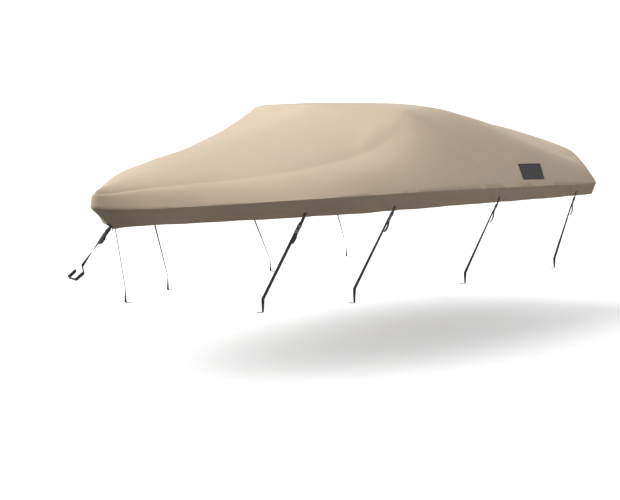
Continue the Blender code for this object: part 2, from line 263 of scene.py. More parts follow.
# The cover's own shape, as in the frame
Section = namedtuple(
    "Section",
    "rimAft rimHalf rimHeight hemAft hemHalf hemHeight spineAft spineHeight "
    "arch shoulder shoulderHeight bulge soft",
)
coverShape = {
    "sections": [  # from the bow round to the stern, port half
        Section(0.00, 0.000, 1.207, 0.230, 0.000, 1.057, 0.06, 1.318, 0.60, 0.62, 1.306, 0.067, 0.05),
        Section(0.10, 0.074, 1.196, 0.255, 0.030, 1.064, 0.15, 1.339, 0.60, 0.67, 1.310, 0.057, 0.05),
        Section(0.30, 0.217, 1.190, 0.370, 0.170, 1.074, 0.41, 1.377, 0.60, 0.72, 1.332, 0.030, 0.05),
        Section(0.60, 0.430, 1.196, 0.650, 0.370, 1.080, 0.69, 1.408, 0.56, 0.69, 1.349, 0.034, 0.05),
        Section(1.00, 0.695, 1.208, 1.035, 0.625, 1.084, 1.03, 1.451, 0.46, 0.66, 1.370, 0.038, 0.06),
        Section(1.50, 0.940, 1.214, 1.525, 0.872, 1.086, 1.40, 1.499, 0.44, 0.67, 1.407, 0.043, 0.06),
        Section(2.00, 1.055, 1.208, 2.015, 0.998, 1.081, 1.80, 1.551, 0.41, 0.66, 1.443, 0.064, 0.05),
        Section(2.55, 1.118, 1.195, 2.560, 1.070, 1.072, 2.21, 1.630, 0.43, 0.65, 1.524, 0.053, 0.05),
        Section(2.90, 1.135, 1.183, 2.905, 1.090, 1.064, 2.50, 1.698, 0.47, 0.62, 1.618, 0.055, 0.05),
        Section(3.20, 1.146, 1.171, 3.200, 1.102, 1.055, 2.67, 1.757, 0.40, 0.59, 1.711, 0.049, 0.05),
        Section(3.30, 1.148, 1.167, 3.300, 1.106, 1.051, 2.72, 1.772, 0.40, 0.57, 1.747, 0.048, 0.05),
        Section(3.75, 1.152, 1.148, 3.750, 1.112, 1.037, 3.17, 1.767, 0.50, 0.54, 1.749, 0.060, 0.05),
        Section(4.50, 1.155, 1.116, 4.500, 1.118, 1.012, 3.97, 1.743, 0.31, 0.71, 1.547, 0.072, 0.05),
        Section(5.05, 1.158, 1.092, 5.050, 1.125, 0.998, 4.49, 1.684, 0.27, 0.80, 1.378, 0.061, 0.05),
        Section(5.30, 1.155, 1.084, 5.292, 1.122, 0.992, 4.69, 1.633, 0.47, 0.86, 1.311, 0.041, 0.05),
        Section(5.42, 1.115, 1.081, 5.405, 1.085, 0.989, 4.81, 1.605, 0.47, 0.87, 1.329, 0.019, 0.05),
        Section(5.45, 1.030, 1.080, 5.430, 1.005, 0.988, 4.97, 1.590, 0.35, 0.90, 1.338, 0.020, 0.05),
        Section(5.46, 0.500, 1.080, 5.440, 0.500, 0.988, 5.03, 1.599, 0.33, 0.87, 1.462, 0.020, 0.05),
        Section(5.46, 0.000, 1.080, 5.440, 0.000, 0.988, 5.07, 1.605, 0.35, 0.86, 1.544, 0.020, 0.05),
    ],
    "odd": ("rimHalf", "hemHalf"),  # these change sign past the two ends of the table
    "sweepPower": 1.25,  # how the ribs curve from the spine out to the rim
    "spineRounding": 0.45,  # how far the ridge along the middle is rounded off
    "rimRounding": 0.005,
    "skirtDepth": 0.13,
    "cloth": 0.0025,
    "ribs": 276,
    "archCuts": 32,
    "flankCuts": 22,
    "skirtShares": (0.05, 0.12, 0.22, 0.34, 0.46, 0.58, 0.70, 0.79, 0.84, 0.87, 0.93, 1.0),
}


def steadySlopes(knots, values):
    steps = np.diff(knots)
    rises = np.diff(values) / steps
    slopes = np.zeros(len(knots))
    for i in range(1, len(knots) - 1):
        before, after = rises[i - 1], rises[i]
        if before * after > 0:
            weightBefore, weightAfter = 2 * steps[i] + steps[i - 1], steps[i] + 2 * steps[i - 1]
            slopes[i] = (weightBefore + weightAfter) / (weightBefore / before + weightAfter / after)
    slopes[0], slopes[-1] = rises[0], rises[-1]
    return slopes


class Outline:  # the table of sections, read at any place round the rim
    def __init__(self, shape):
        rows = shape["sections"]
        spans = [math.dist(a[:2], b[:2]) for a, b in zip(rows, rows[1:])]
        self.places = np.concatenate([[0], np.cumsum(spans)])
        self.sternAt = self.places[-1] - rows[-2].rimHalf
        self.knots = np.concatenate([[-self.places[1]], self.places, [2 * self.places[-1] - self.places[-2]]])
        self.tables = {}
        for name in Section._fields:
            column = [getattr(row, name) for row in rows]
            sign = -1 if name in shape["odd"] else 1
            values = np.array([sign * column[1], *column, sign * column[-2]])
            self.tables[name] = (values, steadySlopes(self.knots, values))

    def at(self, places):
        knots = self.knots
        i = np.clip(np.searchsorted(knots, places) - 1, 0, len(knots) - 2)
        step = knots[i + 1] - knots[i]
        t = (places - knots[i]) / step
        read = {}
        for name, (values, slopes) in self.tables.items():
            read[name] = (
                values[i] * (1 + 2 * t) * (1 - t) ** 2
                + slopes[i] * step * t * (1 - t) ** 2
                + values[i + 1] * t * t * (3 - 2 * t)
                + slopes[i + 1] * step * t * t * (t - 1)
            )
        return Section(**read)

    def placeAt(self, aft):
        tries = np.linspace(0, self.sternAt, 4000)
        return float(tries[np.argmin(np.abs(self.at(tries).rimAft - aft))])


def topPoints(shape, s, share):
    half = s.rimHalf * share
    aft = s.spineAft + (s.rimAft - s.spineAft) * share ** shape["sweepPower"]
    part, k = share / s.shoulder, shape["spineRounding"]
    ridge = (np.hypot(part, k) - k) / (math.hypot(1, k) - k)
    arch = s.spineHeight - (s.spineHeight - s.shoulderHeight) * ((1 - s.arch) * ridge + s.arch * part**2)
    up = (1 - share) / (1 - s.shoulder)
    flank = s.rimHeight + (s.shoulderHeight - s.rimHeight) * up + 4 * s.bulge * up * np.maximum(1 - up, 0)
    height = (arch + flank - np.hypot(arch - flank, s.soft)) / 2
    return np.stack([half, aft, height], -1)


def skirtPoints(s, share):
    rim = np.stack([s.rimHalf, s.rimAft, s.rimHeight], -1)
    hem = np.stack([s.hemHalf, s.hemAft, s.hemHeight], -1)
    return rim + (hem - rim) * share[..., None]


def halfCover(shape, outline):  # points by rib and column, from the spine down to the port hem
    places = np.linspace(0, outline.places[-1], shape["ribs"] + 1)
    table = outline.at(places)
    s = Section(*(column[:, None] for column in table))
    archShares = s.shoulder * np.linspace(0, 1, shape["archCuts"] + 1)[None, :-1]
    flankShares = s.shoulder + (1 - s.shoulder) * np.linspace(0, 1, shape["flankCuts"] + 1)[None, :-1]
    top = topPoints(shape, s, np.concatenate([archShares, flankShares], 1))
    skirt = skirtPoints(s, np.array(shape["skirtShares"])[None, :])
    rim = skirtPoints(s, np.full((1, 1), shape["rimRounding"] / shape["skirtDepth"]))
    return places, np.concatenate([top, rim, skirt], 1)


# Helpers for meshes
def clearSelection():
    bpy.ops.object.select_all(action="DESELECT")


def gridPiece(name, points, uvs, thickness, offset):  # points[row][column] become one sheet
    rows, columns = points.shape[0] - 1, points.shape[1] - 1
    clearSelection()
    bpy.ops.mesh.primitive_grid_add(x_subdivisions=columns, y_subdivisions=rows, size=2, calc_uvs=True)
    piece = bpy.context.object
    piece.name = name
    mesh = piece.data
    flat = np.empty(len(mesh.vertices) * 3)
    mesh.vertices.foreach_get("co", flat)
    flat = flat.reshape(-1, 3)
    column = np.rint((flat[:, 0] + 1) / 2 * columns).astype(int)
    row = np.rint((flat[:, 1] + 1) / 2 * rows).astype(int)
    mesh.vertices.foreach_set("co", points[row, column].ravel())
    corner = np.empty(len(mesh.loops), int)
    mesh.loops.foreach_get("vertex_index", corner)
    mesh.uv_layers[0].name = "UVMap"
    mesh.uv_layers[0].data.foreach_set("uv", uvs[row[corner], column[corner]].ravel())
    if thickness:
        wall = piece.modifiers.new("thickness", "SOLIDIFY")
        wall.thickness, wall.offset, wall.use_even_offset = thickness, offset, False
    mesh.update()
    return piece


def applyModifiers(piece):
    clearSelection()
    bpy.context.view_layer.objects.active = piece
    piece.select_set(True)
    for modifier in list(piece.modifiers):
        bpy.ops.object.modifier_apply(modifier=modifier.name)


def smoothShaded(piece, degrees=35):
    clearSelection()
    bpy.context.view_layer.objects.active = piece
    piece.select_set(True)
    bpy.ops.object.shade_smooth_by_angle(angle=math.radians(degrees))


def finish(piece, material, slot, *nodes):
    piece.data.materials.clear()
    piece.data.materials.append(material)
    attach(piece, "root")
    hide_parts(*nodes)
    return piece


def lengthsAlong(points, axis):
    steps = np.linalg.norm(np.diff(points, axis=axis), axis=-1)
    start = np.zeros_like(np.take(steps, [0], axis=axis))
    return np.concatenate([start, np.cumsum(steps, axis=axis)], axis=axis)


# Folds and creases of the cover
folds = {
    "swell": 0.0035,  # broad unevenness of the pulled cloth, and the size of its waves
    "swellSize": 0.50,
    "pucker": 0.0030,  # folds that fan out over the skirt from each tab
    "puckerReach": 0.16,
    "puckers": 8.0,
    "rimWave": 0.0012,  # unevenness of the fold along the widest line: its place above the hem, and its waves
    "rimAbove": 0.135,
    "rimReach": 0.035,
    "rimWaves": [(13.1, 1.9, 1.0), (31, 1.0, 0.7), (57, 0.0, 0.5)],  # waves to a metre, side's shift, size
    "hemWave": 0.0021,
    "hemReach": 0.06,
    "hemWaves": [(9.3, 1.3, 1.0), (21.7, 0.7, 0.6)],
    "hemFold": 0.0009,  # how far the doubled hem stands out, and how deep it is
    "hemDepth": 0.027,
    "tabFlat": 0.050,  # the cloth lies flat this far to each side of a tab, and this far up
    "tabTop": 0.10,
    "tabFade": 0.04,
    "bowCalm": 0.12,  # the folds fade out over these lengths at the bow and at both ends of the rim
    "endCalm": 0.03,
}

# Each crease runs from one place to another, as half, aft and height, and is sunk or raised by rise.
Crease = namedtuple("Crease", "start end rise width")
portCreases = [
    Crease((0.700, 4.060, 1.630), (0.800, 3.960, 1.570), -0.0100, 0.016),
    Crease((0.715, 4.115, 1.600), (0.830, 4.020, 1.545), 0.0060, 0.018),
    Crease((0.893, 3.722, 1.501), (0.945, 3.672, 1.436), -0.0060, 0.009),
    Crease((0.905, 3.760, 1.490), (0.955, 3.705, 1.425), 0.0045, 0.011),
    Crease((1.030, 3.300, 1.330), (1.118, 3.440, 1.195), -0.0035, 0.016),
    Crease((1.010, 3.370, 1.355), (1.108, 3.520, 1.220), 0.0030, 0.020),
    Crease((1.060, 3.180, 1.300), (1.120, 3.290, 1.190), 0.0025, 0.016),
    Crease((0.780, 2.770, 1.560), (0.980, 3.000, 1.370), 0.0050, 0.045),
    Crease((0.640, 2.900, 1.715), (1.020, 3.540, 1.340), -0.0050, 0.060),
    Crease((0.560, 2.700, 1.640), (0.690, 2.220, 1.470), 0.0040, 0.050),
    Crease((0.870, 4.420, 1.480), (1.100, 4.700, 1.220), -0.0040, 0.045),
    Crease((0.820, 4.640, 1.470), (1.120, 5.060, 1.160), 0.0040, 0.050),
    Crease((0.780, 4.980, 1.440), (1.100, 5.330, 1.150), -0.0055, 0.035),
    Crease((0.560, 1.330, 1.400), (0.830, 1.600, 1.270), -0.0030, 0.040),
    Crease((0.190, 0.500, 1.345), (0.360, 0.620, 1.230), -0.0030, 0.025),
    Crease((0.050, 0.180, 1.300), (0.200, 0.420, 1.210), 0.0030, 0.022),
]
roofCreases = [
    Crease((0.420, 2.780, 1.765), (-0.400, 2.820, 1.765), -0.0040, 0.035),
    Crease((0.380, 3.600, 1.750), (-0.300, 3.760, 1.760), -0.0045, 0.060),
    Crease((-0.360, 4.250, 1.740), (0.240, 4.420, 1.745), -0.0040, 0.050),
    Crease((0.300, 1.900, 1.560), (-0.260, 2.060, 1.580), 0.0030, 0.070),
]
sternCreases = [
    Crease((0.700, 5.440, 1.320), (0.860, 5.445, 1.120), -0.0050, 0.035),
    Crease((0.280, 5.280, 1.470), (0.420, 5.450, 1.140), -0.0045, 0.050),
    Crease((-0.300, 5.260, 1.480), (-0.330, 5.450, 1.140), 0.0045, 0.055),
    Crease((-0.640, 5.400, 1.360), (-0.900, 5.440, 1.120), -0.0050, 0.040),
]


def starboardCreases():  # the other side is creased much as port is, but not as its mirror image
    made = []
    for number, crease in enumerate(portCreases[4:]):
        shift = 0.07 * math.sin(2.1 * number + 0.7)
        start, end = ((-half, aft + shift, height) for half, aft, height in (crease.start, crease.end))
        made.append(Crease(start, end, crease.rise * (0.7 + 0.3 * math.cos(number)), crease.width * 1.1))
    return made


def creaseLift(points, creases):
    lift = np.zeros(points.shape[:2])
    for crease in creases:
        start, end = np.array(placed(*crease.start)), np.array(placed(*crease.end))
        span = end - start
        along = ((points - start) @ span) / (span @ span)
        nearest = start + np.clip(along, 0, 1)[..., None] * span
        gap = np.linalg.norm(points - nearest, axis=-1)
        past = np.abs(along - 0.5) * 2
        taper = np.clip((1.25 - past) / 0.6, 0, 1)
        lift += crease.rise * np.exp(-((gap / crease.width) ** 2)) * taper * taper * (3 - 2 * taper)
    return lift


def gridNormals(points):
    normal = np.cross(np.gradient(points, axis=0), np.gradient(points, axis=1))
    return normal / np.maximum(np.linalg.norm(normal, axis=-1, keepdims=True), 1e-12)


class CoverSurface:  # the outer face of the cloth as a grid, from rib to rib and from hem to hem
    def __init__(self, shape, outline):
        self.places, half = halfCover(shape, outline)
        starboard = half[:, :0:-1] * np.array([-1, 1, 1])
        self.points = np.concatenate([starboard, half], 1) - np.array([0, originAft, originHeight])
        fromHem = lengthsAlong(half[:, ::-1], 1)[:, ::-1]
        self.up = np.concatenate([fromHem[:, :0:-1], fromHem], 1)
        self.columns = self.points.shape[1]
        self.middle = self.columns // 2
        self.run = np.repeat(self.places[:, None], self.columns, 1)
        self.normals = gridNormals(self.points)
        if self.normals[len(self.places) // 2, self.middle, 2] < 0:
            self.normals = -self.normals
        self.points = self.points + self.normals * self.foldLift(outline)[..., None]

    def foldLift(self, outline):
        def swell(x, y, z):
            at = Vector((x, y, z)) / folds["swellSize"]
            return noise.noise(at) + 0.45 * noise.noise(at * 2.3 + Vector((7, 3, 1)))

        def waves(table):
            return sum(size * np.sin(self.run * rate + side * shift) for rate, shift, size in table)

        side = np.where(np.arange(self.columns) < self.middle, -1.0, 1.0)
        lift = folds["swell"] * np.vectorize(swell)(*np.moveaxis(self.points, -1, 0))
        flat = np.ones_like(lift)
        for strap in sideStraps:
            gap = self.run - outline.placeAt(strap.aft)
            reach = np.hypot(gap, self.up) / folds["puckerReach"]
            fan = np.cos(np.arctan2(gap, self.up + 0.03) * folds["puckers"])
            lift += folds["pucker"] * fan * np.exp(-(reach**2)) * np.clip(reach * 2, 0, 1)
            low = np.clip((folds["tabTop"] - self.up) / folds["tabFade"], 0, 1)
            flat *= 1 - np.exp(-((gap / folds["tabFlat"]) ** 4)) * low
        nearRim = np.exp(-(((self.up - folds["rimAbove"]) / folds["rimReach"]) ** 2))
        nearHem = np.exp(-((self.up / folds["hemReach"]) ** 2))
        lift += folds["rimWave"] * waves(folds["rimWaves"]) * nearRim
        lift += folds["hemWave"] * waves(folds["hemWaves"]) * nearHem
        lift += folds["hemFold"] * np.clip((folds["hemDepth"] - self.up) / 0.002, 0, 1)
        lift += creaseLift(self.points, portCreases + roofCreases + sternCreases + starboardCreases())
        ends = np.minimum(self.run, self.places[-1] - self.run)
        bow = np.clip(self.run / folds["bowCalm"], 0, 1)
        return lift * flat * bow * np.clip(ends / folds["endCalm"], 0, 1)

    def flatSize(self):  # girth, length over the top from hem to hem, and the cloth's own area
        spine = self.points[:, self.middle]
        ends = self.up[0, self.middle] + self.up[-1, self.middle]
        length = np.linalg.norm(np.diff(spine, axis=0), axis=1).sum() + ends
        across = self.points[1:, 1:] - self.points[:-1, :-1]
        back = self.points[1:, :-1] - self.points[:-1, 1:]
        area = np.linalg.norm(np.cross(across, back), axis=-1).sum() / 2
        return (2 * float(self.up[:, self.middle].max()), float(length)), float(area)

    def rowAbove(self, height):  # the line all round the cover at this height above the hem's edge
        port, starboard = [], []
        portColumns = list(range(self.columns - 1, self.middle, -1))
        starboardColumns = list(range(self.middle))
        for rib in range(len(self.places)):
            for line, columns in ((port, portColumns), (starboard, starboardColumns)):
                up = self.up[rib, columns]
                values = np.concatenate([self.points[rib, columns], self.normals[rib, columns]], 1)
                line.append([np.interp(height, up, values[:, k]) for k in range(6)])
        return np.array(port + starboard[::-1])


def makeCover(shape, surface):
    cover = gridPiece("boatCover", surface.points, np.stack([surface.up, surface.run], -1), 0, -1)
    bpy.ops.object.mode_set(mode="EDIT")
    bpy.ops.mesh.select_all(action="SELECT")
    bpy.ops.mesh.remove_doubles(threshold=0.00005)
    bpy.ops.mesh.normals_make_consistent(inside=False)
    bpy.ops.object.mode_set(mode="OBJECT")
    wall = cover.modifiers.new("thickness", "SOLIDIFY")
    wall.thickness, wall.offset, wall.use_even_offset = shape["cloth"], -1, False
    applyModifiers(cover)
    smoothShaded(cover, 50)
    return cover


# Stitches
stitchForm = {"waist": 0.45, "crown": 1.4, "probe": 0.002}  # shares of its length and thread; metres


def makeStitches(name, lines, look):  # each line is rows of (place, face direction); one stitch each pitch
    places, alongs, faces = [], [], []
    for line in lines:
        line = np.asarray(line)
        length = lengthsAlong(line[:, :3], 0)
        count = max(int(length[-1] / look["pitch"]), 1)
        stops = (np.arange(count) + 0.5) * length[-1] / count
        values = np.stack([np.interp(stops, length, line[:, k]) for k in range(6)], 1)
        probe = stitchForm["probe"]
        ahead = np.stack([np.interp(stops + probe, length, line[:, k]) for k in range(3)], 1)
        behind = np.stack([np.interp(stops - probe, length, line[:, k]) for k in range(3)], 1)
        along = ahead - behind
        places.append(values[:, :3])
        alongs.append(along / np.linalg.norm(along, axis=1)[:, None])
        faces.append(values[:, 3:] / np.linalg.norm(values[:, 3:], axis=1)[:, None])
    place, along, face = (np.concatenate(part) for part in (places, alongs, faces))
    across = np.cross(along, face)
    end = along * look["stitch"] / 2
    waist, wide = end * stitchForm["waist"], across * look["thread"] / 2
    crown = face * look["thread"] / 2 * stitchForm["crown"]
    corners = [place - end]
    for middle in (place - waist, place + waist):
        corners += [middle + wide, middle + crown, middle - wide]
    corners.append(place + end)
    sides = [(0, 1, 2), (0, 2, 3), (0, 3, 1), (1, 4, 5, 2), (2, 5, 6, 3), (3, 6, 4, 1)]
    sides += [(7, 5, 4), (7, 6, 5), (7, 4, 6)]
    points = np.stack(corners, 1).reshape(-1, 3)
    polygons = [tuple(i * 8 + k for k in side) for i in range(len(place)) for side in sides]
    mesh = bpy.data.meshes.new(name)
    mesh.from_pydata(points.tolist(), [], polygons)
    mesh.update()
    stitches = bpy.data.objects.new(name, mesh)
    bpy.context.scene.collection.objects.link(stitches)
    clearSelection()
    bpy.context.view_layer.objects.active = stitches
    stitches.select_set(True)
    bpy.ops.object.mode_set(mode="EDIT")
    bpy.ops.mesh.select_all(action="SELECT")
    bpy.ops.mesh.normals_make_consistent(inside=False)
    bpy.ops.object.mode_set(mode="OBJECT")
    return stitches


# Webbing: tabs and straps
webbing = {
    "width": 0.025,
    "thick": 0.0015,
    "lift": 0.0016,  # from the cover's face to the middle of a tab
    "loopRadius": 0.0046,
    "tabReturn": 0.018,
    "tabClear": 0.004,
    "freeEnd": 0.075,  # how far the strap's end hangs below its buckle
    "freeEndOff": 2.2,  # how far it stands off there, in loop radii, and how much further on the way
    "freeEndBulge": 0.006,
    "bulgeShares": (0.72, 0.40),
    "boxInset": 0.0035,  # from the tab's sides in to the stitched square
    "boxEnds": 0.009,  # what the square leaves of the sewn length
    "bendRadius": 0.008,
    "step": 0.010,
    "arcSteps": 8,
    "faceForward": math.radians(30),
    "footTurn": 0.045,
}
buckle = {"length": 0.060, "width": 0.034, "thick": 0.0068, "bar": 0.003, "slotHalf": 0.0135}

SideStrap = namedtuple("SideStrap", "aft sewn hang bendHalf bendAft bendHeight footHeight")
sideStraps = [
    SideStrap(1.266, 0.038, 0.056, 0.550, 1.143, 0.547, 0.456),
    SideStrap(2.080, 0.038, 0.022, 0.770, 1.989, 0.540, 0.441),
    SideStrap(3.561, 0.045, 0.030, 0.850, 3.556, 0.505, 0.421),
    SideStrap(4.970, 0.038, 0.030, 0.955, 4.970, 0.490, 0.408),
]
bowStrap = {
    "sewn": 0.040,
    "aboveHem": 0.032,
    "hang": 0.030,
    "bends": [
        (0.020, -0.131, 0.858),
        (0.040, -0.143, 0.817),
        (0.040, -0.227, 0.782),
        (-0.040, -0.195, 0.789),
        (-0.040, -0.115, 0.825),
    ],
    "wrapAxis": Vector((0, -0.707, 0.707)),
}

Stop = namedtuple("Stop", "point across radius", defaults=[0])


def roundedRoute(stops):  # points and width directions along straight runs with rounded corners
    route = [(stops[0].point, stops[0].across)]
    for before, corner, after in zip(stops, stops[1:], stops[2:]):
        if corner.radius == 0:
            route.append((corner.point, corner.across))
            continue
        back = (before.point - corner.point).normalized()
        ahead = (after.point - corner.point).normalized()
        halfAngle = back.angle(ahead) / 2
        setback = corner.radius / math.tan(halfAngle)
        centre = corner.point + (back + ahead).normalized() * (corner.radius / math.sin(halfAngle))
        start = corner.point + back * setback - centre
        end = corner.point + ahead * setback - centre
        axis = start.cross(end).normalized()
        for i in range(webbing["arcSteps"] + 1):
            turn = Matrix.Rotation((math.pi - 2 * halfAngle) * i / webbing["arcSteps"], 3, axis)
            route.append((centre + turn @ start, corner.across))
    route.append((stops[-1].point, stops[-1].across))
    fine = [route[0]]
    for (start, startAcross), (end, endAcross) in zip(route, route[1:]):
        count = max(int((end - start).length / webbing["step"]), 1)
        for i in range(1, count + 1):
            fine.append((start.lerp(end, i / count), startAcross.lerp(endAcross, i / count).normalized()))
    return fine


def bandSection(width, thick):  # the webbing's cross section: across, and out from its middle
    edge, flat = width / 2, width / 2 - thick * 0.45
    top = [(-flat, 0.5), (-flat * 0.5, 0.5), (0, 0.5), (flat * 0.5, 0.5), (flat, 0.5)]
    under = [(x, -z) for x, z in top[::-1]]
    ring = [*top, (edge, 0.18), (edge, -0.18), *under, (-edge, -0.18), (-edge, 0.18)]
    return [(x, z * thick) for x, z in ring]


def bandFrames(route):
    frames = []
    for i, (point, across) in enumerate(route):
        ahead = (route[min(i + 1, len(route) - 1)][0] - route[max(i - 1, 0)][0]).normalized()
        level = (across - ahead * across.dot(ahead)).normalized()
        frames.append((point, level, ahead, level.cross(ahead)))
    return frames


def makeBand(name, stops):  # one length of webbing, as a closed strip
    frames = bandFrames(roundedRoute(stops))
    section = bandSection(webbing["width"], webbing["thick"])
    points, polygons, uvs = [], [], []
    lengths = [0.0]
    for (a, *_), (b, *_) in zip(frames, frames[1:]):
        lengths.append(lengths[-1] + (b - a).length)
    for point, level, ahead, out in frames:
        points += [point + level * x + out * z for x, z in section]
    size = len(section)
    for i in range(len(frames) - 1):
        for k in range(size):
            near, far = k, (k + 1) % size
            corners = ((i, near), (i, far), (i + 1, far), (i + 1, near))
            polygons.append(tuple(row * size + column for row, column in corners))
            uvs += [(section[column][0] + webbing["width"] / 2, lengths[row]) for row, column in corners]
    for row, order in ((0, range(size - 1, -1, -1)), (len(frames) - 1, range(size))):
        polygons.append(tuple(row * size + k for k in order))
        uvs += [(section[k][0] + webbing["width"] / 2, lengths[row]) for k in order]
    mesh = bpy.data.meshes.new(name)
    mesh.from_pydata(points, [], polygons)
    layer = mesh.uv_layers.new(name="UVMap")
    layer.data.foreach_set("uv", np.array(uvs).ravel())
    mesh.update()
    band = bpy.data.objects.new(name, mesh)
    bpy.context.scene.collection.objects.link(band)
    clearSelection()
    bpy.context.view_layer.objects.active = band
    band.select_set(True)
    bpy.ops.object.mode_set(mode="EDIT")
    bpy.ops.mesh.select_all(action="SELECT")
    bpy.ops.mesh.normals_make_consistent(inside=False)
    bpy.ops.object.mode_set(mode="OBJECT")
    smoothShaded(band, 40)
    return band, lengths[-1]


def turningRun(start, end, acrossStart, acrossEnd, pieces):
    shares = [i / pieces for i in range(1, pieces)]
    return [Stop(start.lerp(end, s), acrossStart.lerp(acrossEnd, s).normalized()) for s in shares]


def boxStitching(corner, across, along, face, width, length):  # a square with a cross in it
    def spot(x, y):
        return [*(corner + across * x * width / 2 + along * y * length), *face]

    ends = [(-1, 0), (1, 0), (1, 1), (-1, 1), (-1, 0)]
    lines = [[spot(*a), spot(*b)] for a, b in zip(ends, ends[1:])]
    return lines + [[spot(-1, 0), spot(1, 1)], [spot(1, 0), spot(-1, 1)]]


def makeTieDown(label, sewn, edge, hang, bends, across, outward, parts):
    down = (bends[0].point - edge).normalized()
    level = (across - down * across.dot(down)).normalized()
    face = level.cross(down).normalized()
    if face.dot(outward) < 0:
        face = -face
    loop, bar = webbing["loopRadius"], buckle["bar"]
    top = edge + down * hang
    topBar = top + down * bar / 2
    lowBar = top + down * (buckle["length"] - bar / 2)
    roundBar = loop * 0.999
    tabStops = [
        Stop(sewn, across),
        Stop(edge, across),
        Stop(top - down * webbing["tabClear"] + face * loop, level),
        Stop(topBar + (face + down) * loop, level, roundBar),
        Stop(topBar + (down - face) * loop, level, roundBar),
        Stop(topBar - face * loop - down * webbing["tabReturn"], level),
    ]
    runStart = lowBar - face * loop + down * webbing["tabReturn"]
    freeEnd, off = down * webbing["freeEnd"], face * loop * webbing["freeEndOff"]
    bulge = off + face * webbing["freeEndBulge"]
    strapStops = [
        Stop(lowBar + freeEnd + off, level),
        *(Stop(lowBar + freeEnd * share + bulge, level) for share in webbing["bulgeShares"]),
        Stop(lowBar + (face - down) * loop, level, roundBar),
        Stop(lowBar - (face + down) * loop, level, roundBar),
        Stop(runStart, level),
        *turningRun(runStart, bends[0].point, level, bends[0].across, 12),
        *bends,
    ]
    alongTab = (edge - sewn).normalized()
    outTab = across.cross(alongTab).normalized()
    if outTab.dot(outward) < 0:
        outTab = -outTab
    corner = sewn + alongTab * webbing["boxInset"] + outTab * webbing["thick"] * 0.5
    boxWidth = webbing["width"] - 2 * webbing["boxInset"]
    boxLength = (edge - sewn).length - webbing["boxEnds"]
    parts["threads"] += boxStitching(corner, alongTab.cross(outTab), alongTab, outTab, boxWidth, boxLength)
    parts["webbing"].append(("tab_" + label, *makeBand("sewnTab_" + label, tabStops)))
    parts["webbing"].append(("strap_" + label, *makeBand("tiedStrap_" + label, strapStops)))
    turn = Matrix((down.cross(face), down, face)).transposed().to_4x4()
    parts["buckles"].append((label, Matrix.Translation(top + down * buckle["length"] / 2) @ turn))


def sideTieDown(outline, label, spec, side, parts):  # side is 1 on port and -1 on starboard
    place = outline.placeAt(spec.aft)
    here, before, after = (outline.at(place + step) for step in (0, -0.05, 0.05))

    def mirrored(half, aft, height):
        return placed(side * float(half), float(aft), float(height))

    rim = mirrored(here.rimHalf, here.rimAft, here.rimHeight)
    hem = mirrored(here.hemHalf, here.hemAft, here.hemHeight)
    along = mirrored(after.hemHalf, after.hemAft, 0) - mirrored(before.hemHalf, before.hemAft, 0)
    along.normalize()
    down = (hem - rim).normalized()
    outward = along.cross(down).normalized() * -side
    lift = outward * webbing["lift"]
    forward = Vector((side * math.sin(webbing["faceForward"]), math.cos(webbing["faceForward"]), 0))
    aftWay = Vector((0, 1, 0))
    radius = webbing["bendRadius"]
    bends = [
        Stop(mirrored(spec.bendHalf, spec.bendAft, spec.bendHeight), forward, radius),
        Stop(mirrored(spec.bendHalf, spec.bendAft, spec.footHeight), aftWay, radius),
        Stop(mirrored(spec.bendHalf - webbing["footTurn"], spec.bendAft, spec.footHeight), aftWay),
    ]
    makeTieDown(label, hem - down * spec.sewn + lift, hem + lift, spec.hang, bends, along, outward, parts)


def bowTieDown(outline, spec, parts):
    bow = outline.at(0.0)
    rim = placed(0, float(bow.rimAft), float(bow.rimHeight))
    hem = placed(0, float(bow.hemAft), float(bow.hemHeight))
    across = Vector((1, 0, 0))
    down = (hem - rim).normalized()
    outward = down.cross(across).normalized()
    edge = hem - down * spec["aboveHem"] + outward * webbing["lift"]
    corners = [placed(*point) for point in spec["bends"]]
    bends = [Stop(corner, spec["wrapAxis"], webbing["bendRadius"]) for corner in corners[:-1]]
    bends.append(Stop(corners[-1], spec["wrapAxis"]))
    makeTieDown("bow", edge - down * spec["sewn"], edge, spec["hang"], bends, across, outward, parts)


# Buckles
buckleShape = {
    "socket": {  # the half that the tab holds: lines across it, from its bar to its mouth
        "ys": (-0.030, -0.0285, -0.027, -0.022, -0.0160, -0.0125, -0.0105, 0.0015, 0.0035, 0.0095, 0.0110),
        "widths": (0.0135, 0.0165, 0.017, 0.017, 0.0168, 0.0165, 0.0112, 0.0112, 0.0160, 0.0162, 0.0150),
        "slotRow": 2,
    },
    "plug": {
        "ys": (0.0118, 0.0135, 0.018, 0.022, 0.027, 0.0285, 0.030),
        "widths": (0.0150, 0.0166, 0.017, 0.017, 0.017, 0.0165, 0.0135),
        "slotRow": 3,
    },
    "bevel": 0.0009,
    "padInset": 0.0022,
    "padRise": 0.0011,
    "prong": {  # the arms bow outwards where they are pressed
        "from": -0.0100,
        "to": 0.0135,
        "width": 0.0030,
        "thick": 0.0042,
        "xs": (0.0128, 0.0142, 0.0143, 0.0134, 0.0118, 0.0100),
        "bevel": 0.0006,
    },
    "ridge": {"count": 3, "from": 0.0148, "pitch": 0.0021, "size": (0.014, 0.0009, 0.0012), "bevel": 0.0003},
}


def editFaces(piece, chosen):  # edit mode with just the chosen faces selected
    editMode(piece)
    bpy.ops.mesh.select_mode(type="FACE")
    bpy.ops.mesh.select_all(action="DESELECT")
    bpy.ops.object.mode_set(mode="OBJECT")
    for face in piece.data.polygons:
        face.select = chosen(face)
    bpy.ops.object.mode_set(mode="EDIT")


def editMode(piece):
    clearSelection()
    bpy.context.view_layer.objects.active = piece
    piece.select_set(True)
    bpy.ops.object.mode_set(mode="EDIT")


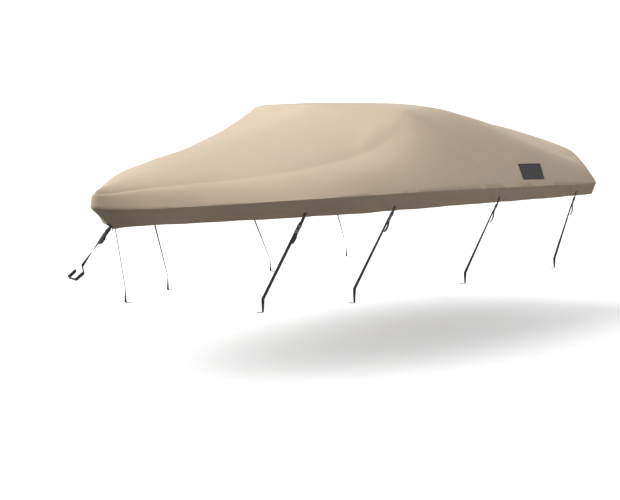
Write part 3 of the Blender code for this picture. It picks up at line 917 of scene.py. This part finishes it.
def bevelled(piece, width, segments=3):
    rounding = piece.modifiers.new("rounding", "BEVEL")
    rounding.width, rounding.segments = width, segments
    rounding.limit_method, rounding.angle_limit = "ANGLE", math.radians(40)
    applyModifiers(piece)
    return piece


def buckleHalf(name, spec):  # a plate with a slot for the webbing and a raised pad on both faces
    ys, widths = spec["ys"], spec["widths"]
    slotShare = buckle["slotHalf"] / (buckle["width"] / 2)
    xs = (-1.0, -slotShare, slotShare, 1.0)
    clearSelection()
    bpy.ops.mesh.primitive_grid_add(x_subdivisions=3, y_subdivisions=len(ys) - 1, size=2)
    plate = bpy.context.object
    plate.name = name
    for vertex in plate.data.vertices:
        column = round((vertex.co.x + 1) / 2 * 3)
        row = round((vertex.co.y + 1) / 2 * (len(ys) - 1))
        vertex.co = (xs[column] * widths[row], ys[row], 0)
    slot = (ys[spec["slotRow"]] + ys[spec["slotRow"] + 1]) / 2
    nearMiddle, nearSlot = buckle["slotHalf"] / 2, buckle["bar"] / 2
    editFaces(plate, lambda face: abs(face.center.y - slot) < nearSlot and abs(face.center.x) < nearMiddle)
    bpy.ops.mesh.delete(type="FACE")
    bpy.ops.object.mode_set(mode="OBJECT")
    wall = plate.modifiers.new("thickness", "SOLIDIFY")
    wall.thickness, wall.offset = buckle["thick"], 0
    applyModifiers(plate)
    side = 1 if slot < 0 else -1  # the pad lies on the side of the slot away from the bar

    def onPad(face):
        level = abs(face.center.x) < nearMiddle and abs(face.normal.z) > 0.9
        return level and (face.center.y - slot) * side > buckle["bar"]

    editFaces(plate, onPad)
    bpy.ops.mesh.inset(thickness=buckleShape["padInset"], depth=buckleShape["padRise"])
    bpy.ops.object.mode_set(mode="OBJECT")
    return bevelled(plate, buckleShape["bevel"])


def barPiece(name, size, at):
    clearSelection()
    bpy.ops.mesh.primitive_cube_add(size=1, location=at)
    made = bpy.context.object
    made.name = name
    made.scale = size
    bpy.ops.object.transform_apply(location=True, rotation=False, scale=True)
    return made


def joined(name, pieces):
    clearSelection()
    for piece in pieces:
        piece.select_set(True)
    bpy.context.view_layer.objects.active = pieces[0]
    bpy.ops.object.join()
    made = bpy.context.object
    made.name = name
    return made


def makeBuckle(spec):
    pieces = [buckleHalf("socket", spec["socket"]), buckleHalf("plug", spec["plug"])]
    prong = spec["prong"]
    length, middle = prong["to"] - prong["from"], (prong["to"] + prong["from"]) / 2
    cuts = len(prong["xs"]) - 1
    for side in (-1, 1):
        arm = barPiece("prong", (prong["width"], length, prong["thick"]), (0, middle, 0))
        editMode(arm)
        bpy.ops.mesh.select_all(action="SELECT")
        bpy.ops.mesh.subdivide(number_cuts=cuts - 1)
        bpy.ops.object.mode_set(mode="OBJECT")
        for vertex in arm.data.vertices:
            row = round((vertex.co.y - prong["from"]) / length * cuts)
            vertex.co.x += side * prong["xs"][row]
        pieces.append(bevelled(arm, prong["bevel"], 2))
    ridge, padTop = spec["ridge"], buckle["thick"] / 2 + spec["padRise"] * 0.6
    for i in range(ridge["count"]):
        for face in (-1, 1):
            at = (0, ridge["from"] + ridge["pitch"] * i, face * padTop)
            pieces.append(bevelled(barPiece("ridge", ridge["size"], at), ridge["bevel"], 2))
    made = joined("buckle", pieces)
    smoothShaded(made, 35)
    return made


# Label patch
patchShape = {
    "aft": 4.20,
    "aboveRim": 0.105,
    "length": 0.38,
    "rise": 0.115,
    "slant": 0.055,
    "lift": 0.0012,
    "cloth": 0.0014,
    "columns": 38,
    "rows": 14,
    "edge": 0.0005,
    "outside": 2,  # it is dropped on to the cloth from this far to port
    "stitchInset": 0.006,
    "stitchStops": 30,
}


def makePatch(spec, outline, cover):
    bpy.context.view_layer.update()

    def lyingAt(along, up):
        aft = spec["aft"] + spec["length"] * along
        rim = float(outline.at(outline.placeAt(aft)).rimHeight)
        height = rim + spec["aboveRim"] + spec["rise"] * up
        outside = placed(spec["outside"], aft + spec["slant"] * up, height)
        _, point, normal, _ = cover.ray_cast(outside, Vector((-1, 0, 0)))
        return point, normal

    alongs = [c / spec["columns"] - 0.5 for c in range(spec["columns"] + 1)]
    ups = [r / spec["rows"] - 0.5 for r in range(spec["rows"] + 1)]
    spots = [[lyingAt(along, up) for along in alongs] for up in ups]
    points = np.array([[p + n * (spec["lift"] + spec["cloth"] / 2) for p, n in row] for row in spots])
    normals = np.array([[n for _, n in row] for row in spots])
    uvs = np.stack([lengthsAlong(points, 1), lengthsAlong(points, 0)], -1)
    patch = gridPiece("labelPatch", points, uvs, spec["cloth"], 0)
    applyModifiers(patch)
    smoothShaded(bevelled(patch, spec["edge"], 2), 40)
    size = (float(uvs[:, -1, 0].mean()), float(uvs[-1, :, 1].mean()))
    inX, inY = spec["stitchInset"] / size[0], spec["stitchInset"] / size[1]
    corners = [(inX, inY), (1 - inX, inY), (1 - inX, 1 - inY), (inX, 1 - inY), (inX, inY)]
    lines = []
    for (x0, y0), (x1, y1) in zip(corners, corners[1:]):
        line = []
        for i in range(spec["stitchStops"] + 1):
            share = i / spec["stitchStops"]
            x, y = x0 + (x1 - x0) * share, y0 + (y1 - y0) * share
            point, normal = lyingAt(x - 0.5, y - 0.5)
            line.append([*(point + normal * (spec["lift"] + spec["cloth"])), *normal])
        lines.append(line)
    return patch, size, lines


# Making it all
threadLooks = {
    "hem": {"pitch": 0.0052, "stitch": 0.0046, "thread": 0.0009, "rows": (0.010, 0.021)},
    "webbing": {"pitch": 0.0030, "stitch": 0.0027, "thread": 0.0007},
    "patch": {"pitch": 0.0032, "stitch": 0.0028, "thread": 0.0007},
}

outline = Outline(coverShape)
surface = CoverSurface(coverShape, outline)
cover = finish(makeCover(coverShape, surface), canvasMaterial(canvasLook), "cloth", "cover")
print("cover:", len(cover.data.polygons), "faces")

hemLines = [surface.rowAbove(row) for row in threadLooks["hem"]["rows"]]
hemStitches = makeStitches("hemStitches", hemLines, threadLooks["hem"])
finish(hemStitches, threadMaterial("tanThread", rgb(0.40, 0.33, 0.25)), "cloth")
coverFlat, coverArea = surface.flatSize()
print("hem stitched; the cloth's flat size", coverFlat, "and area", coverArea)

webbingFinish = webbingMaterial(webbingLook)
threadBlack = threadMaterial("blackThread", rgb(0.030, 0.030, 0.032))
parts = {"webbing": [], "buckles": [], "threads": []}
bowTieDown(outline, bowStrap, parts)
for side, name in ((1, "port"), (-1, "starboard")):
    for number, spec in enumerate(sideStraps, 1):
        sideTieDown(outline, f"{name}_{number}", spec, side, parts)
for node, band, length in parts["webbing"]:
    finish(band, webbingFinish, "webbing", node)
finish(makeStitches("tabStitches", parts["threads"], threadLooks["webbing"]), threadBlack, "webbing")
print("webbing:", len(parts["webbing"]), "lengths")

moulded = plasticMaterial(plasticLook)
master = makeBuckle(buckleShape)
for label, place in parts["buckles"]:
    copy = bpy.data.objects.new("mouldedBuckle_" + label, master.data.copy())
    bpy.context.scene.collection.objects.link(copy)
    copy.data.transform(place)
    finish(copy, moulded, "plastic", "buckle_" + label)
bpy.data.objects.remove(master)
print("buckles:", len(parts["buckles"]))

patch, patchSize, patchLines = makePatch(patchShape, outline, cover)
finish(patch, patchMaterial(patchLook), "label_cloth", "label_patch")
patchStitches = makeStitches("patchStitches", patchLines, threadLooks["patch"])
finish(patchStitches, threadBlack, "label_cloth")
print("patch sewn on")

# Floor, light and camera
studio = {
    "floorSize": 600,
    "floorGlow": 0.30,
    "camera": (7.86, -13.60, 0.5255),
    "azimuth": 30.1,
    "pitch": 5.79,
    "lens": 124.84,
    "sky": 0.58,
    # dim below and bright all round; the stops reach skyBand below and above the horizon
    "skyStops": [(0.0, 0.12), (0.40, 0.12), (0.45, 1.8), (0.62, 1.8), (0.80, 1.0)],
    "skyBand": 0.25,
    "sunFrom": (-0.46, -0.66, 0.58),
    "sun": 2.9,
    "sunSpread": 65,
}


def makeStudio(s):
    clearSelection()
    bpy.ops.mesh.primitive_plane_add(size=s["floorSize"], location=(0, 0, 0))
    floor = bpy.context.object
    floor.name = "floor"
    for vertex in floor.data.vertices:
        vertex.co.z = -originHeight
    g = Graph("paleFloor", 0.95, Specular_IOR_Level=0.0, Emission_Strength=s["floorGlow"])
    g.into("Base Color", rgb(0.92, 0.92, 0.92))
    g.into("Emission Color", rgb(1, 1, 1))
    floor.data.materials.append(g.material)
    floor.visible_diffuse = False
    world = bpy.data.worlds.new("studioLight")
    bpy.context.scene.world = world
    world.use_nodes = True
    tree = world.node_tree
    place = tree.nodes.new("ShaderNodeTexCoord")
    split = tree.nodes.new("ShaderNodeSeparateXYZ")
    share = tree.nodes.new("ShaderNodeMapRange")
    ramp = tree.nodes.new("ShaderNodeValToRGB")
    share.inputs["From Min"].default_value = -s["skyBand"]
    share.inputs["From Max"].default_value = s["skyBand"]
    tree.links.new(place.outputs["Generated"], split.inputs[0])
    tree.links.new(split.outputs["Z"], share.inputs["Value"])
    tree.links.new(share.outputs[0], ramp.inputs["Fac"])
    stripes = ramp.color_ramp.elements
    while len(stripes) < len(s["skyStops"]):
        stripes.new(0.5)
    for stripe, (at, level) in zip(stripes, s["skyStops"]):
        stripe.position, stripe.color = at, rgb(level, level, level)
    back = tree.nodes["Background"]
    tree.links.new(ramp.outputs[0], back.inputs["Color"])
    back.inputs["Strength"].default_value = s["sky"]
    light = bpy.data.lights.new("softKey", "SUN")
    light.energy, light.angle = s["sun"], math.radians(s["sunSpread"])
    lamp = bpy.data.objects.new("softKey", light)
    bpy.context.scene.collection.objects.link(lamp)
    lamp.rotation_euler = Vector(s["sunFrom"]).to_track_quat("Z", "Y").to_euler()
    camera = bpy.data.objects.new("camera", bpy.data.cameras.new("camera"))
    bpy.context.scene.collection.objects.link(camera)
    camera.data.sensor_fit = "HORIZONTAL"
    camera.data.sensor_width = 36
    camera.data.lens = s["lens"]
    camera.data.clip_end = 1000
    camera.location = s["camera"]
    camera.rotation_euler = (math.radians(90 - s["pitch"]), 0, math.radians(s["azimuth"]))
    bpy.context.scene.camera = camera
    bpy.context.scene.view_settings.view_transform = "Standard"


makeStudio(studio)
